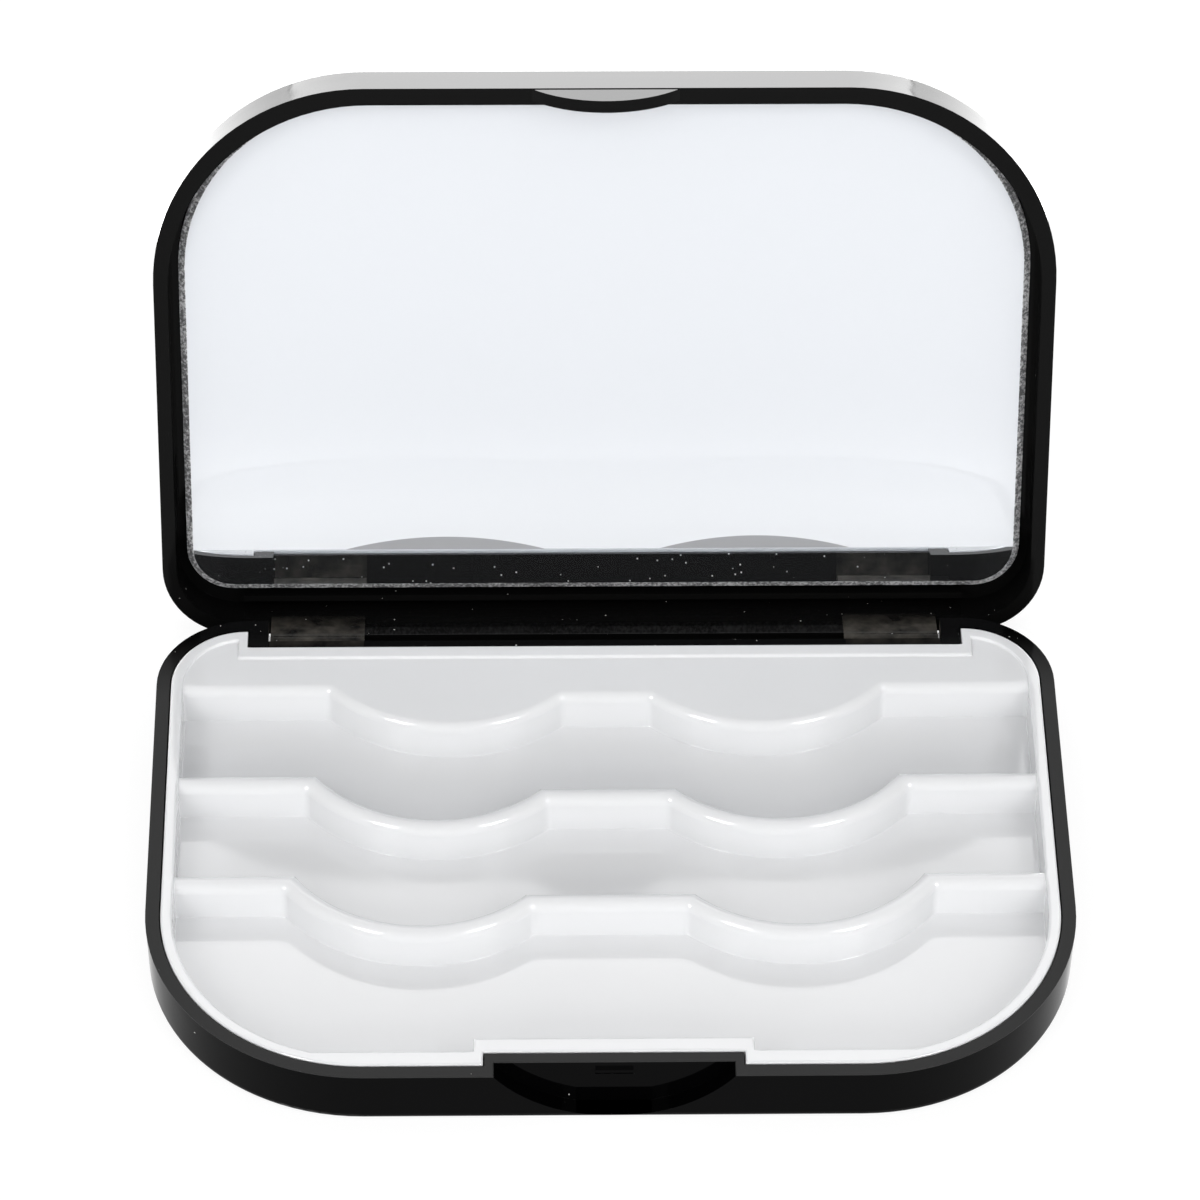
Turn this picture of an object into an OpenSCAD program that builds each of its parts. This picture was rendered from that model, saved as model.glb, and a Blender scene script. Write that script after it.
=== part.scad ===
// False eyelash case: a shallow moulded box with a drop-in lash tray and a mirrored lid.
// Front of the case is -Y, the hinge is along X at the back, and the base stands on z = 0.
// The lid is drawn open at its stop; turning it by its full travel about +X closes it.

/* [Case] */
// Width of the base
case_w = 115; // [100:1:140]
// Depth of the base, front to back
case_d = 77.5; // [76:0.5:95]
// Height of the base, table to rim
base_h = 8.3; // [8:0.1:12]
// Radius of the two front corners in plan
front_r = 27.1; // [18:0.1:32]
// Radius of the two rear corners in plan
rear_r = 11.3; // [9:0.1:11.6]
// Radius along the bottom edge of the base and the top edge of the lid
edge_r = 1.2; // [0.6:0.1:1.6]
// How far the side walls lean in from the rim to the flat face
draft = 0.24; // [0.05:0.01:0.4]

/* [Base] */
// Width of the base rim
base_wall = 1.7; // [1.3:0.1:2.2]
// Thickness of the base floor
base_floor = 1.4; // [1:0.1:1.6]
// Half width of the thumb recess at the rim
recess_half = 14.7; // [11:0.1:15]
// Depth of the thumb recess below the rim
recess_drop = 7.7; // [5.6:0.1:7.8]
// How far the thumb recess goes in behind the front face
recess_in = 2.3; // [2.2:0.1:2.8]
// Thickness of the wall left behind the thumb recess
recess_wall = 1.4; // [1:0.1:1.8]
// Width of rim left beside the thumb recess
recess_side = 1; // [0.8:0.1:2]
// Width of the latch bump
bump_w = 4.6; // [3:0.1:6]
// Height of the latch bump
bump_h = 1.5; // [1:0.1:1.8]
// How far the latch bump stands out
bump_out = 0.3; // [0.1:0.05:0.3]
// Depth of the latch bump's middle below the rim
bump_z = 1.5; // [1.2:0.1:2]

/* [Lash tray] */
// Clearance between the tray and the base wall
tray_gap = 0.15; // [0.05:0.05:0.3]
// How far the tray rim stands above the base rim
tray_proud = 0.1; // [0:0.05:0.15]
// Width of the tray rim at the sides
tray_side_rim = 1.5; // [1.1:0.1:2]
// Width of the tray rim along the front
tray_front_rim = 2.3; // [1.2:0.1:2.8]
// Width of the tray rim along the hinge
tray_back_rim = 1.9; // [1.2:0.1:2.4]
// Width of the tray rim beside the thumb recess and the hinge posts
tray_step_rim = 1.2; // [0.9:0.1:1.8]
// Thickness of the tray floor and of the back shelf
tray_floor = 1.2; // [0.8:0.1:1.5]
// Depth of the back shelf below the tray rim
shelf_drop = 0.4; // [0.3:0.1:2]
// How far the tops of the wavy walls lie below the tray rim
row_drop = 0.5; // [0.3:0.1:1.5]
// Thickness of a wavy lash wall
row_wall = 2.7; // [1.2:0.1:3]
// Distance from the front of the case to the back shelf's edge at the sides
row_y = 65.2; // [63:0.2:66]
// Distance from one row to the next
row_pitch = 17; // [14:0.1:18]
// Radius of the curve that a lash lies on
lash_r = 21.6; // [18:0.1:26]
// Distance from the centre line to the middle of a back row curve
lash_x = 19.8; // [18:0.1:22]
// How much further out the curves lie from row to row
lash_x_step = 1.8; // [0:0.1:2.2]
// How far a back row curve reaches forward of its side runs
lash_reach = 6.7; // [5:0.1:8]
// How much further forward the curves reach from row to row
lash_reach_step = 0.8; // [0:0.1:1]
// How far the middle run of the back row lies forward of its side runs
mid_step = 1.4; // [0.4:0.1:2.5]
// How much further forward the middle run lies from row to row
mid_step_add = 0.95; // [0:0.05:1.1]

/* [Hinge] */
// Distance from the back face of the base to the hinge axis
hinge_in = 0.6; // [0.5:0.05:0.8]
// Depth of the hinge axis below the base rim
hinge_drop = 4.5; // [4.3:0.05:4.6]
// How far past upright the lid leans when it is open
lean = 17; // [5:1:18]
// Radius of the knuckles and of the lugs on the base
barrel_r = 1.7; // [1.5:0.05:1.75]
// Diameter of a hinge pin
pin_d = 1.2; // [1:0.05:1.4]
// Radial running clearance between a pin and its knuckle
pin_play = 0.05; // [0.02:0.01:0.1]
// Radial squeeze of a pin in its post
pin_grip = 0.02; // [0.01:0.01:0.04]
// Distance from the side of the case to the opening in the back wall for the hinge leaf
notch_in = 14.1; // [13.8:0.1:20]
// Width of the posts that hold the pins
post_w = 2.45; // [2.3:0.05:3.1]
// Width of a lid knuckle
knuckle_w = 12.2; // [8:0.1:16]
// Gap between the ends of the hinge leaf and the posts
leaf_gap = 0.1; // [0.1:0.05:0.3]
// Gap between the knuckles and the sill below them
sill_gap = 0.3; // [0.2:0.05:0.4]
// Distance from the hinge axis up to the leaf's edge between the knuckles
leaf_lift = 1; // [0.9:0.1:2]
// How far the knuckle blocks run up past the lid rim
block_rise = 1.1; // [0.5:0.1:2]
// Distance from the back face of the base to the cross wall in front of the hinge
cross_in = 4.55; // [4.4:0.05:4.7]
// Thickness of the cross wall in front of the hinge
cross_wall = 1.2; // [0.8:0.05:1.3]
// Depth of the cross wall's top below the base rim
cross_drop = 0.3; // [0.2:0.1:1]

/* [Lid] */
// Gap between the closed lid's rim and the base rim
parting = 0.3; // [0.25:0.05:0.5]
// Height of the closed lid's top above the base rim
lid_top_z = 7.3; // [7.1:0.1:8]
// How far the lid's outline lies inside the base's outline
lid_set = 0.25; // [0.1:0.05:0.3]
// Width of the lid rim
lid_wall = 1.8; // [1.4:0.1:2.2]
// Thickness of the lid's wall at the front
lid_front_wall = 2.25; // [1.8:0.05:2.4]
// Radius of the lid's rear corners
lid_rear_r = 9.5; // [8.5:0.1:11]
// Radius of the front corners inside the lid
lid_inner_r = 25.6; // [24:0.1:26.5]
// Thickness of the lid's top
lid_skin = 1.4; // [1:0.1:1.6]
// Half width of the thumb tongue at the rim
tongue_half = 8.9; // [6:0.1:9.6]
// How far the tongue's face lies behind the lid's face
tongue_set = 0.1; // [0:0.05:0.2]
// How far the thumb tongue hangs below the base rim
tongue_drop = 3.55; // [3.3:0.05:4.5]
// Thickness of the thumb tongue
tongue_t = 1.6; // [1.1:0.05:1.65]
// Clearance round the latch bump in the tongue's pocket
latch_gap = 0.3; // [0.2:0.05:0.4]
// Depth of the pocket in the tongue that takes the latch bump
pocket_in = 0.3; // [0.2:0.05:0.4]

/* [Mirror] */
// Thickness of the mirror glass
mirror_t = 1.5; // [1.2:0.1:1.8]
// Width of the ground bevel round the mirror
bevel_w = 0.8; // [0.4:0.1:1.5]
// Depth of the ground bevel round the mirror
bevel_t = 0.5; // [0.2:0.1:0.9]
// Gap between the mirror and the lid's wall at the sides
mirror_gap = 1.25; // [0.8:0.05:1.8]
// Gap between the mirror and the lid's wall at the front
mirror_front_gap = 0.5; // [0.3:0.05:1.8]
// Radius of the mirror's two front corners
mirror_front_r = 23.5; // [14:0.1:26]
// Distance from the back of the case to the mirror's back edge
mirror_back = 5; // [4.9:0.1:14]
// Radius of the mirror's two rear corners
mirror_rear_r = 6; // [3:0.5:9]
// Thickness of the foam tape behind the mirror
tape_t = 0.8; // [0.5:0.1:1.1]
// Width of a tape strip
tape_w = 10; // [6:1:16]
// Length of a tape strip
tape_l = 70; // [40:1:80]
// Distance of each tape strip's middle from the mirror's middle
tape_y = 20; // [12:1:24]
// Gap between the mirror's back edge and the rib behind it
rib_gap = 0.9; // [0.4:0.1:1.1]
// Thickness of the rib behind the mirror
rib_t = 0.8; // [0.6:0.1:1]
// Distance from the side of the case to the end of the rib behind the mirror
rib_in = 10.5; // [9.5:0.5:25]

/* [Hidden] */
$fn = 96;
rows = 3;
// How far shapes run into each other where they are joined or cut
overlap = 0.5;
pin_inset = 0.3;
pin_end_wall = 0.4;
hole_spare = 0.1;
beyond = 20;
// How far a wall section reaches in from the outline
section_in = 6;
half_w = case_w / 2;
notch_half = half_w - notch_in;
rib_half = half_w - rib_in;
rim_z = base_h;
hinge_y = case_d - hinge_in;
hinge_z = rim_z - hinge_drop;
leaf_half = notch_half - leaf_gap;
leaf_back = hinge_in - lid_set;
leaf_t = lid_wall;
sill_z = hinge_z - barrel_r - sill_gap;
cross_y = case_d - cross_in;
recess_r = (recess_half * recess_half + recess_drop * recess_drop) / (2 * recess_drop);
recess_back = recess_in + recess_wall;
block_half = recess_half + recess_side;
bump_y = recess_in - bump_out;
bump_low = rim_z - bump_z - bump_h / 2;
tray_in = base_wall + tray_gap;
tray_top = rim_z + tray_proud;
tray_back = cross_y - tray_gap;
tray_notch_half = notch_half + post_w + tray_gap;
shelf_z = tray_top - shelf_drop;
row_top = tray_top - row_drop;
floor_z = base_floor + tray_floor;
pin_r = pin_d / 2;
pin_out = notch_half + post_w - pin_end_wall;
pin_in = leaf_half - knuckle_w + pin_inset;
lid_rim_z = rim_z + parting;
lid_top = rim_z + lid_top_z;
lid_ceiling = lid_top - lid_skin;
tongue_r = (tongue_half * tongue_half + tongue_drop * tongue_drop) / (2 * tongue_drop);
mirror_in = lid_set + lid_wall + mirror_gap;
mirror_front = lid_set + lid_front_wall + mirror_front_gap;
mirror_y = case_d - mirror_back;
mirror_z = lid_ceiling - tape_t - mirror_t;
mirror_mid_y = (mirror_front + mirror_y) / 2;
tape_z = lid_ceiling - tape_t;

function row_side_y(k) = row_y - k * row_pitch;
function row_mid_y(k) = row_side_y(k) - mid_step - k * mid_step_add;
function row_reach_y(k) = row_side_y(k) - lash_reach - k * lash_reach_step;
function lash_centre(k) = lash_x + k * lash_x_step;

// Rounded outline of half width w with its own radii at the front and back
module outline(w, y_front, y_back, r_front, r_back) {
    translate([r_front - w, y_front]) square([2 * (w - r_front), r_front]);
    translate([-w, y_front + r_front]) square([2 * w, y_back - y_front - r_front - r_back]);
    translate([r_back - w, y_back - r_back]) square([2 * (w - r_back), r_back]);
    for (s = [-1, 1]) {
        translate([s * (w - r_front), y_front + r_front]) circle(r_front);
        translate([s * (w - r_back), y_back - r_back]) circle(r_back);
    }
}

// The case's outline moved in by a set distance all round
module plan(inset) {
    outline(half_w - inset, inset, case_d - inset, front_r - inset, rear_r - inset);
}

// The lid's outline moved in by a set distance all round
module lid_plan(inset) {
    outline(half_w - lid_set - inset, lid_set + inset, case_d - lid_set - inset,
            front_r - lid_set - inset, lid_rear_r - inset);
}

// Carries a section, drawn with its outer face at x = 0, once round such an outline
module round_outline(w, y_front, y_back, r_front, r_back) {
    for (s = [0, 1]) {
        mirror([s, 0, 0]) {
            translate([w - r_front, y_front + r_front, 0]) rotate([0, 0, -90])
                rotate_extrude(angle = 90) translate([r_front, 0]) children();
            translate([w - r_back, y_back - r_back, 0])
                rotate_extrude(angle = 90) translate([r_back, 0]) children();
            translate([w, y_back - r_back, 0]) rotate([90, 0, 0])
                linear_extrude(y_back - y_front - r_front - r_back) children();
        }
    }
    translate([w - r_front, y_front, 0]) rotate([0, 0, -90]) rotate([90, 0, 0])
        linear_extrude(2 * (w - r_front)) children();
    translate([r_back - w, y_back, 0]) rotate([0, 0, 90]) rotate([90, 0, 0])
        linear_extrude(2 * (w - r_back)) children();
}

// Section of a moulded wall on its floor: leaning outer face, rounded edge, upright inner face
module wall_section(h, wall, skin) {
    difference() {
        polygon([[-section_in, 0], [-draft, 0], [0, h], [-wall, h], [-wall, skin],
                 [-section_in, skin]]);
        difference() {
            translate([-draft - edge_r, -edge_r]) square([2 * edge_r, 2 * edge_r]);
            translate([-draft - edge_r, edge_r]) circle(edge_r);
        }
    }
}

// A cylinder along X between two places on the hinge axis
module on_axis(x0, x1, r) {
    translate([x0, hinge_y, hinge_z]) rotate([0, 90, 0]) cylinder(h = x1 - x0, r = r);
}

// A half-moon plate below the rim plane, chord at the rim and arc below
module half_moon(half, drop, r, y0, y1, above) {
    intersection() {
        translate([0, y1, rim_z - drop + r]) rotate([90, 0, 0]) cylinder(h = y1 - y0, r = r);
        translate([-half - beyond, y0, rim_z - drop - beyond])
            cube([2 * (half + beyond), y1 - y0, drop + beyond + above]);
    }
}

module base_shell() {
    color("#151515") difference() {
        union() {
            round_outline(half_w, 0, case_d, front_r, rear_r)
                wall_section(base_h, base_wall, base_floor);
            linear_extrude(base_floor) plan(section_in - 1);
            translate([-block_half, base_wall - overlap, base_floor - overlap])
                cube([2 * block_half, recess_back - base_wall + overlap,
                      base_h - base_floor + overlap]);
            translate([-notch_half - post_w, cross_y, base_floor - overlap])
                cube([2 * (notch_half + post_w), cross_wall,
                      base_h - base_floor + overlap - cross_drop]);
            for (s = [0, 1]) mirror([s, 0, 0]) hinge_post();
        }
        thumb_recess();
        translate([-notch_half, case_d - base_wall - overlap, sill_z])
            cube([2 * notch_half, base_wall + 2 * overlap, base_h]);
        for (s = [0, 1]) mirror([s, 0, 0])
            on_axis(notch_half - overlap, pin_out + hole_spare, pin_r - pin_grip);
    }
}

// Post between the cross wall and the back wall, with a round lug about the hinge axis
module hinge_post() {
    translate([notch_half, cross_y, base_floor - overlap])
        cube([post_w, cross_in - base_wall + overlap, base_h - base_floor + overlap]);
    on_axis(notch_half, notch_half + post_w, barrel_r);
}

// Half-moon cut in the front wall, which leaves the wall behind it and the latch bump
module thumb_recess() {
    difference() {
        half_moon(recess_half, recess_drop, recess_r, -overlap, recess_in, overlap);
        latch_bump();
    }
}

// Low bump with sloping upper and lower faces, standing out towards the front
module latch_bump() {
    deep = bump_out + overlap;
    translate([-bump_w / 2, bump_y, bump_low]) rotate([90, 0, 90]) linear_extrude(bump_w)
        polygon([[0, bump_h * 0.35], [bump_out, 0], [deep, 0], [deep, bump_h],
                 [bump_out, bump_h], [0, bump_h * 0.65]]);
}

// Everything in plan that lies behind the wavy front face of row k, moved back by t
module behind_row(k, t) {
    translate([-half_w, row_side_y(k) + t]) square([case_w, case_d]);
    translate([-lash_centre(k), row_mid_y(k) + t]) square([2 * lash_centre(k), case_d]);
    for (s = [-1, 1])
        translate([s * lash_centre(k), row_reach_y(k) + lash_r]) circle(lash_r - t);
}

// The tray's outline moved in, with its steps round the thumb recess and the hinge
module tray_plan(side = 0, front = 0, back = 0, step = 0) {
    recess_step = block_half + tray_gap + step;
    hinge_step = tray_notch_half + step;
    difference() {
        plan(tray_in + side);
        translate([-half_w, -beyond]) square([case_w, beyond + tray_in + front]);
        translate([-recess_step, -beyond])
            square([2 * recess_step, beyond + recess_back + tray_gap + front]);
        translate([-hinge_step, tray_back - back]) square([2 * hinge_step, case_d]);
    }
}

// The area inside the tray's rim
module tray_inside() {
    tray_plan(tray_side_rim, tray_front_rim, tray_back_rim, tray_step_rim);
}

module lash_tray() {
    color("#f2f3f4") difference() {
        translate([0, 0, base_floor]) linear_extrude(tray_top - base_floor) tray_plan();
        // Open space between the wavy walls, down to the tray floor
        translate([0, 0, floor_z]) linear_extrude(base_h) difference() {
            tray_inside();
            behind_row(0, 0);
            for (k = [1:rows - 1]) difference() {
                behind_row(k, 0);
                behind_row(k, row_wall);
            }
        }
        // Space over the tops of the wavy walls
        translate([0, 0, row_top]) linear_extrude(base_h) difference() {
            tray_inside();
            behind_row(0, 0);
        }
        // Space over the back shelf
        translate([0, 0, shelf_z]) linear_extrude(base_h) tray_inside();
        // Hollow under the back shelf
        linear_extrude(shelf_z - tray_floor) intersection() {
            tray_inside();
            behind_row(0, row_wall);
        }
    }
}

module hinge_pin_right() {
    color("#b8bcc0") on_axis(pin_in, pin_out, pin_r);
}

module hinge_pin_left() {
    color("#b8bcc0") on_axis(-pin_out, -pin_in, pin_r);
}

// Turns the lid's pieces from the closed place to the open stop
module opened() {
    translate([0, hinge_y, hinge_z]) rotate([-90 - lean, 0, 0])
        translate([0, -hinge_y, -hinge_z]) children();
}

// Leaf along the back of the lid that hangs into the base's notch, with its knuckles
module hinge_leaf() {
    block_t = leaf_back + barrel_r - 0.1;
    leaf_z = hinge_z + leaf_lift;
    translate([-leaf_half, hinge_y + leaf_back - leaf_t, leaf_z])
        cube([2 * leaf_half, leaf_t, lid_rim_z + overlap - leaf_z]);
    for (s = [0, 1]) mirror([s, 0, 0]) {
        on_axis(leaf_half - knuckle_w, leaf_half, barrel_r);
        translate([leaf_half - knuckle_w, hinge_y + leaf_back - block_t, hinge_z])
            cube([knuckle_w, block_t, lid_rim_z + block_rise - hinge_z]);
    }
}

// Half-moon tongue that hangs into the thumb recess
module thumb_tongue() {
    face = lid_set + tongue_set;
    back = face + tongue_t;
    difference() {
        half_moon(tongue_half, tongue_drop, tongue_r, face, back, parting + overlap);
        translate([-bump_w / 2 - latch_gap, back - pocket_in, bump_low - latch_gap])
            cube([bump_w + 2 * latch_gap, tongue_t, bump_h + 2 * latch_gap]);
    }
}

// Shallow tray turned upside down, its wall thicker along the front
module lid_body() {
    difference() {
        union() {
            round_outline(half_w - lid_set, lid_set, case_d - lid_set, front_r - lid_set, lid_rear_r)
                translate([0, lid_top]) mirror([0, 1])
                    wall_section(lid_top - lid_rim_z, section_in - 1, lid_skin);
            translate([0, 0, lid_ceiling]) linear_extrude(lid_skin) lid_plan(section_in - 1);
        }
        translate([0, 0, lid_rim_z - overlap])
            linear_extrude(lid_ceiling - lid_rim_z + overlap)
                outline(half_w - lid_set - lid_wall, lid_set + lid_front_wall,
                        case_d - lid_set - lid_wall, lid_inner_r, lid_rear_r - lid_wall);
    }
}

module lid_shell() {
    color("#101010") opened() difference() {
        union() {
            lid_body();
            translate([-rib_half, mirror_y + rib_gap, mirror_z])
                cube([2 * rib_half, rib_t, lid_ceiling + overlap - mirror_z]);
            hinge_leaf();
            thumb_tongue();
        }
        for (s = [0, 1]) mirror([s, 0, 0])
            on_axis(leaf_half - knuckle_w - overlap, leaf_half + overlap, pin_r + pin_play);
    }
}

// Glass plate with a bevel ground round its face
module mirror_glass() {
    deep = bevel_w + 1;
    color("#dfe6ec") opened() translate([0, 0, mirror_z]) {
        round_outline(half_w - mirror_in, mirror_front, mirror_y, mirror_front_r, mirror_rear_r)
            polygon([[-deep, 0], [-bevel_w, 0], [0, bevel_t], [0, mirror_t], [-deep, mirror_t]]);
        linear_extrude(mirror_t)
            outline(half_w - mirror_in - bevel_w, mirror_front + bevel_w, mirror_y - bevel_w,
                    mirror_front_r - bevel_w, mirror_rear_r - bevel_w);
    }
}

module mirror_tape(side) {
    color("#e8e4d8") opened()
        translate([-tape_l / 2, mirror_mid_y + side * tape_y - tape_w / 2, tape_z])
            cube([tape_l, tape_w, tape_t]);
}

module mirror_tape_front() {
    mirror_tape(-1);
}

module mirror_tape_back() {
    mirror_tape(1);
}

translate([0, -case_d / 2, 0]) {
    base_shell();
    lash_tray();
    hinge_pin_left();
    hinge_pin_right();
    lid_shell();
    mirror_glass();
    mirror_tape_front();
    mirror_tape_back();
}
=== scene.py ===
import logging
import math
from dataclasses import dataclass, field
from enum import Enum
from typing import Sequence, Union

import bmesh
import bpy
import numpy as np
from mathutils import Matrix, Vector
from mathutils.geometry import delaunay_2d_cdt


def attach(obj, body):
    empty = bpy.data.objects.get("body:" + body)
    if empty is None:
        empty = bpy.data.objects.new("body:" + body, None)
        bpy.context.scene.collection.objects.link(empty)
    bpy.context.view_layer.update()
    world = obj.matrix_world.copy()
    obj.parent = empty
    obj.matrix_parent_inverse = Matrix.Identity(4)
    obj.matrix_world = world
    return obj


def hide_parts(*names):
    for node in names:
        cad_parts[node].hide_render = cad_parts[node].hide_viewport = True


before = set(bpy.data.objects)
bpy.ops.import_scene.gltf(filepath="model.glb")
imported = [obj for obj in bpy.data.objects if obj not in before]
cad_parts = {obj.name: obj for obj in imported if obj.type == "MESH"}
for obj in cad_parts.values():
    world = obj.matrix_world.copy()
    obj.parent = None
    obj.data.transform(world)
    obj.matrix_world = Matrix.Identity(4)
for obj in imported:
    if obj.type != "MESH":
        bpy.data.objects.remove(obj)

log = logging.getLogger("lash_case")

MM = 0.001
Operand = Union["Value", int, float]
Point = tuple[float, float, float]
Span = tuple[float, float]
Colour = tuple[float, float, float]
Paint = Union[Colour, bpy.types.NodeSocket]
Chain = tuple[np.ndarray, bool]

# Share of a face's area in the weighting of normals, out of 100
NORMAL_WEIGHT = 90
# Sides of a line, seen along it; the tray's wavy lines run to the right
LEFT, RIGHT = 1.0, -1.0
# In millimetres: points that count as one on a line, and in the triangulation
SAME_POINT, MERGE_WITHIN = 1e-4, 1e-5
# Cosine that limits how far a mitred corner reaches
LEAST_SPREAD = 0.5
# An edge with fewer faces than this lies on the border of a mesh
BORDER_FACES = 1.5


# Shader tools

@dataclass(frozen=True)
class Grain:
    """Settings of one noise.

    Attributes:
        scale: Features per metre.
        detail: Octaves.
        rough: Share of the finer octaves.
    """

    scale: float
    detail: float = 2.0
    rough: float = 0.5


@dataclass(frozen=True)
class Relief:
    """Settings of one bump.

    Attributes:
        depth: How deep a height of 1 is, in metres.
        strength: Share of the effect.
    """

    depth: float
    strength: float


@dataclass(frozen=True)
class Specks:
    """Settings of scattered dots.

    Attributes:
        cells: Cells per metre, each with one chance of a dot.
        radius: Largest radius of a dot as a share of a cell.
        share: Share of the cells that have a dot.
    """

    cells: float
    radius: float
    share: float


class Value:
    """A number in a shader tree, on which the usual operators add Math nodes."""

    def __init__(self, tree: bpy.types.NodeTree, socket: bpy.types.NodeSocket) -> None:
        """Wraps a socket.

        Args:
            tree: Tree that holds the socket's node.
            socket: Output that gives the number.
        """
        self.tree = tree
        self.socket = socket

    def _math(self, operation: str, *values: Operand) -> "Value":
        """Adds one Math node.

        Args:
            operation: Blender's name of the operation.
            values: Its inputs in order.

        Returns:
            The node's result.
        """
        node = self.tree.nodes.new("ShaderNodeMath")
        node.operation = operation
        for place, value in enumerate(values):
            if isinstance(value, Value):
                self.tree.links.new(value.socket, node.inputs[place])
            else:
                node.inputs[place].default_value = value
        return Value(self.tree, node.outputs[0])

    def __add__(self, other: Operand) -> "Value":
        """Sum."""
        return self._math("ADD", self, other)

    def __radd__(self, other: float) -> "Value":
        """Sum with a plain number first."""
        return self._math("ADD", other, self)

    def __sub__(self, other: Operand) -> "Value":
        """Difference."""
        return self._math("SUBTRACT", self, other)

    def __rsub__(self, other: float) -> "Value":
        """Difference from a plain number."""
        return self._math("SUBTRACT", other, self)

    def __mul__(self, other: Operand) -> "Value":
        """Product."""
        return self._math("MULTIPLY", self, other)

    def __truediv__(self, other: Operand) -> "Value":
        """Quotient."""
        return self._math("DIVIDE", self, other)

    def __pow__(self, other: Operand) -> "Value":
        """Power."""
        return self._math("POWER", self, other)

    def __abs__(self) -> "Value":
        """Size without the sign."""
        return self._math("ABSOLUTE", self)

    def __lt__(self, other: Operand) -> "Value":
        """1 where this is the smaller, else 0."""
        return self._math("LESS_THAN", self, other)

    def __gt__(self, other: Operand) -> "Value":
        """1 where this is the larger, else 0."""
        return self._math("GREATER_THAN", self, other)

    def at_most(self, other: Operand) -> "Value":
        """The smaller of the two."""
        return self._math("MINIMUM", self, other)

    def at_least(self, other: Operand) -> "Value":
        """The larger of the two."""
        return self._math("MAXIMUM", self, other)

    def ramp(self, low: float, high: float) -> "Value":
        """Rises smoothly from 0 at low to 1 at high.

        Args:
            low: Value that gives 0.
            high: Value that gives 1.

        Returns:
            The smooth step.
        """
        node = self.tree.nodes.new("ShaderNodeMapRange")
        node.interpolation_type = "SMOOTHSTEP"
        self.tree.links.new(self.socket, node.inputs["Value"])
        node.inputs["From Min"].default_value = low
        node.inputs["From Max"].default_value = high
        return Value(self.tree, node.outputs["Result"])


class Shader:
    """One material's tree, with a Principled BSDF at its end."""

    def __init__(self, name: str) -> None:
        """Starts a material.

        Args:
            name: Name of the material.
        """
        self.material = bpy.data.materials.new(name)
        self.material.use_nodes = True
        self.tree = self.material.node_tree
        self.tree.nodes.clear()
        self.output = self.tree.nodes.new("ShaderNodeOutputMaterial")
        self.surface = self.tree.nodes.new("ShaderNodeBsdfPrincipled")
        self.tree.links.new(self.surface.outputs["BSDF"], self.output.inputs["Surface"])
        self.place = self.node("ShaderNodeTexCoord").outputs["Object"]

    def node(self, kind: str, settings: dict[str, object] | None = None,
             **inputs: object) -> bpy.types.Node:
        """Adds any node.

        Args:
            kind: Blender's type of node.
            settings: Properties of the node.
            inputs: Its inputs by name, with an underscore for each space.

        Returns:
            The new node.
        """
        new = self.tree.nodes.new(kind)
        for key, value in (settings or {}).items():
            setattr(new, key, value)
        for key, value in inputs.items():
            self.feed(new.inputs[key.replace("_", " ")], value)
        return new

    def feed(self, socket: bpy.types.NodeSocket, value: object) -> None:
        """Links or sets one input.

        Args:
            socket: The input.
            value: A Value, an output socket or a constant.
        """
        if isinstance(value, Value):
            self.tree.links.new(value.socket, socket)
        elif isinstance(value, bpy.types.NodeSocket):
            self.tree.links.new(value, socket)
        elif isinstance(value, tuple) and len(value) == 3 and socket.type == "RGBA":
            socket.default_value = (*value, 1.0)
        else:
            socket.default_value = value

    def value(self, socket: bpy.types.NodeSocket) -> Value:
        """Wraps an output of this tree as a number."""
        return Value(self.tree, socket)

    def axes(self) -> list[Value]:
        """The object's own x, y and z at the shaded point."""
        parts = self.node("ShaderNodeSeparateXYZ", Vector=self.place)
        return [self.value(parts.outputs[axis]) for axis in "XYZ"]

    def noise(self, grain: Grain, place: bpy.types.NodeSocket | None = None) -> Value:
        """Smooth noise about 0.5.

        Args:
            grain: Its settings.
            place: Coordinates, or None for the object's own.

        Returns:
            The noise.
        """
        new = self.node("ShaderNodeTexNoise", Vector=place or self.place, Scale=grain.scale,
                        Detail=grain.detail, Roughness=grain.rough)
        return self.value(new.outputs["Fac"])

    def dots(self, specks: Specks, more: Operand = 0.0) -> Value:
        """Scattered round dots.

        Args:
            specks: Their settings.
            more: Added to the share of the cells that have a dot.

        Returns:
            1 on a dot, else 0.
        """
        new = self.node("ShaderNodeTexVoronoi", Vector=self.place, Scale=specks.cells)
        apart = self.node("ShaderNodeSeparateColor", Color=new.outputs["Color"])
        chance = self.value(apart.outputs["Red"])
        size = self.value(apart.outputs["Green"])
        distance = self.value(new.outputs["Distance"])
        return (distance < size * size * specks.radius) * (chance < more + specks.share)

    def blend(self, share: Operand, first: Paint, second: Paint
              ) -> bpy.types.NodeSocket:
        """Mixes two colours.

        Args:
            share: 0 gives the first and 1 the second.
            first: A colour or a colour socket.
            second: A colour or a colour socket.

        Returns:
            The mixed colour.
        """
        new = self.node("ShaderNodeMix", {"data_type": "RGBA"})
        # A Mix node's colours are its inputs 6 and 7 and its output 2
        self.feed(new.inputs[0], share)
        self.feed(new.inputs[6], first)
        self.feed(new.inputs[7], second)
        return new.outputs[2]

    def bump(self, height: Value, relief: Relief) -> None:
        """Feeds the surface's normal from a height.

        Args:
            height: The height, 0 to 1.
            relief: Depth and strength.
        """
        new = self.node("ShaderNodeBump", Height=height, Distance=relief.depth,
                        Strength=relief.strength)
        self.feed(self.surface.inputs["Normal"], new.outputs["Normal"])

    def set(self, **inputs: object) -> None:
        """Sets the surface's inputs by name, with an underscore for each space."""
        for key, value in inputs.items():
            self.feed(self.surface.inputs[key.replace("_", " ")], value)


# Finishes

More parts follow.
